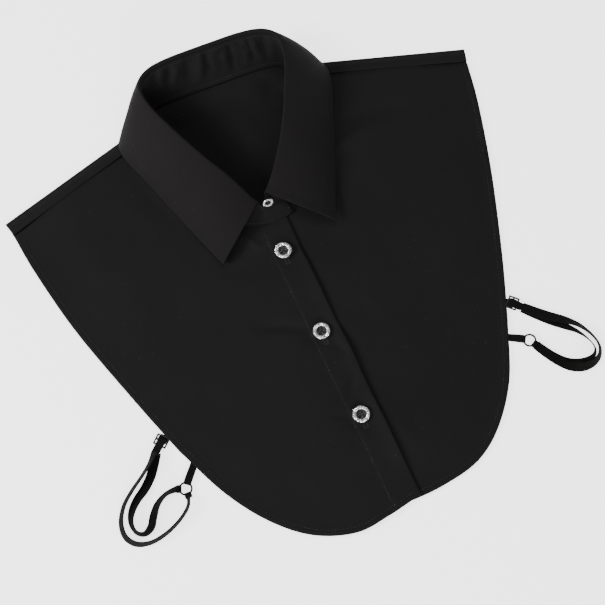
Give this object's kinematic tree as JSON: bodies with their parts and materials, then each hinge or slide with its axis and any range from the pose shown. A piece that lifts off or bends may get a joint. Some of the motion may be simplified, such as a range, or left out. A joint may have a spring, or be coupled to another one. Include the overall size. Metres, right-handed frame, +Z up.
{
  "type": "detachable shirt collar",
  "caption": "False shirt collar laid flat: two short buttoned fronts over a back, a pointed collar on its stand, and a looped elastic strap at each side.",
  "frame": {"origin": "under the middle of the garment (without its straps), on the surface it lies on", "axes": "+X across the shoulders towards the wearer's left side, +Y from the hem to the neck, +Z up from the surface it lies on"},
  "size_m": [0.3796, 0.3888, 0.0326],
  "materials": {
    "cotton": "matt black cotton poplin",
    "elastic": "black woven elastic",
    "silver": "bright silver rim with a textured face round a black centre",
    "black_plastic": "black coated"
  },
  "bodies": {
    "root": {"front_right": "cotton", "front_left": "cotton", "back": "cotton", "collar_stand": "cotton", "collar_leaf": "cotton", "strap_left_outer": "elastic", "strap_left_inner": "elastic", "strap_right_outer": "elastic", "strap_right_inner": "elastic", "sewn_end_left": "elastic", "sewn_end_right": "elastic", "tab_left": "elastic", "tab_right": "elastic", "front_button_1": "silver", "front_button_2": "silver", "front_button_3": "silver", "neck_button": "silver", "slider_left": "black_plastic", "slider_right": "black_plastic", "ring_left": "black_plastic", "ring_right": "black_plastic"}
  },
  "joints": []
}
